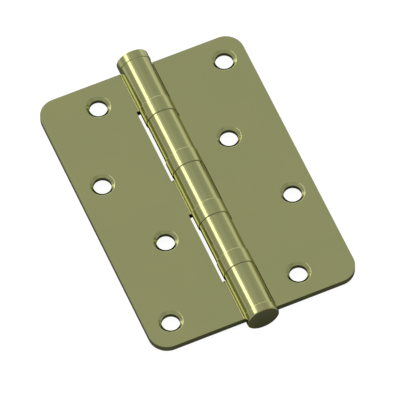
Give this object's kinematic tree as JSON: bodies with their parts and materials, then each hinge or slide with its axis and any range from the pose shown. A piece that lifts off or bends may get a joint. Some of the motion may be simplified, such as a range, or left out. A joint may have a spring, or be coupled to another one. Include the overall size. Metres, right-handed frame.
{
  "type": "ball bearing butt hinge",
  "caption": "Two-leaf butt hinge with rounded corners, staggered countersunk holes, rolled knuckles, ring bearings between them and a button-head pin.",
  "frame": {"origin": "middle of the barrel's axis, within 0.3 mm of the middle of the bounding box", "axes": "+Z out of the countersunk faces with the hinge open flat, +Y along the barrel towards the pin's head, +X towards the leaf with two knuckles"},
  "size_m": [0.0712, 0.106, 0.011],
  "materials": {
    "leaf_plating": "satin",
    "ring_plating": "gloss",
    "pin_plating": "gloss",
    "bearing_steel": "polished",
    "cage_brass": "satin"
  },
  "bodies": {
    "left_side": {"left_leaf": "leaf_plating", "hinge_pin": "pin_plating", "lower_cap": "pin_plating", "bearing_1_ring": "ring_plating", "bearing_1_upper_race": "bearing_steel", "bearing_2_lower_race": "bearing_steel", "bearing_3_ring": "ring_plating", "bearing_3_upper_race": "bearing_steel", "bearing_4_lower_race": "bearing_steel"},
    "right_side": {"right_leaf": "leaf_plating", "bearing_1_lower_race": "bearing_steel", "bearing_2_ring": "ring_plating", "bearing_2_upper_race": "bearing_steel", "bearing_3_lower_race": "bearing_steel", "bearing_4_ring": "ring_plating", "bearing_4_upper_race": "bearing_steel"},
    "ball_set_1": {"bearing_1_cage": "cage_brass", "bearing_1_balls": "bearing_steel"},
    "ball_set_2": {"bearing_2_cage": "cage_brass", "bearing_2_balls": "bearing_steel"},
    "ball_set_3": {"bearing_3_cage": "cage_brass", "bearing_3_balls": "bearing_steel"},
    "ball_set_4": {"bearing_4_cage": "cage_brass", "bearing_4_balls": "bearing_steel"}
  },
  "joints": [
    {"name": "leaf_swing", "type": "hinge", "parent": "left_side", "child": "right_side", "pos_m": [0, 0, 0], "axis": [0, -1, 0], "range_deg": [-118, 180]},
    {"name": "ball_set_1_roll", "type": "hinge", "parent": "left_side", "child": "ball_set_1", "pos_m": [0, 0.03112, 0], "axis": [0, -1, 0], "range_deg": [-59, 90]},
    {"name": "ball_set_2_roll", "type": "hinge", "parent": "left_side", "child": "ball_set_2", "pos_m": [0, 0.00978, 0], "axis": [0, -1, 0], "range_deg": [-59, 90]},
    {"name": "ball_set_3_roll", "type": "hinge", "parent": "left_side", "child": "ball_set_3", "pos_m": [0, -0.01112, 0], "axis": [0, -1, 0], "range_deg": [-59, 90]},
    {"name": "ball_set_4_roll", "type": "hinge", "parent": "left_side", "child": "ball_set_4", "pos_m": [0, -0.03118, 0], "axis": [0, -1, 0], "range_deg": [-59, 90]}
  ],
  "couplings": [
    {"joint": "ball_set_1_roll", "follows": "leaf_swing", "ratio": 0.5},
    {"joint": "ball_set_2_roll", "follows": "leaf_swing", "ratio": 0.5},
    {"joint": "ball_set_3_roll", "follows": "leaf_swing", "ratio": 0.5},
    {"joint": "ball_set_4_roll", "follows": "leaf_swing", "ratio": 0.5}
  ]
}
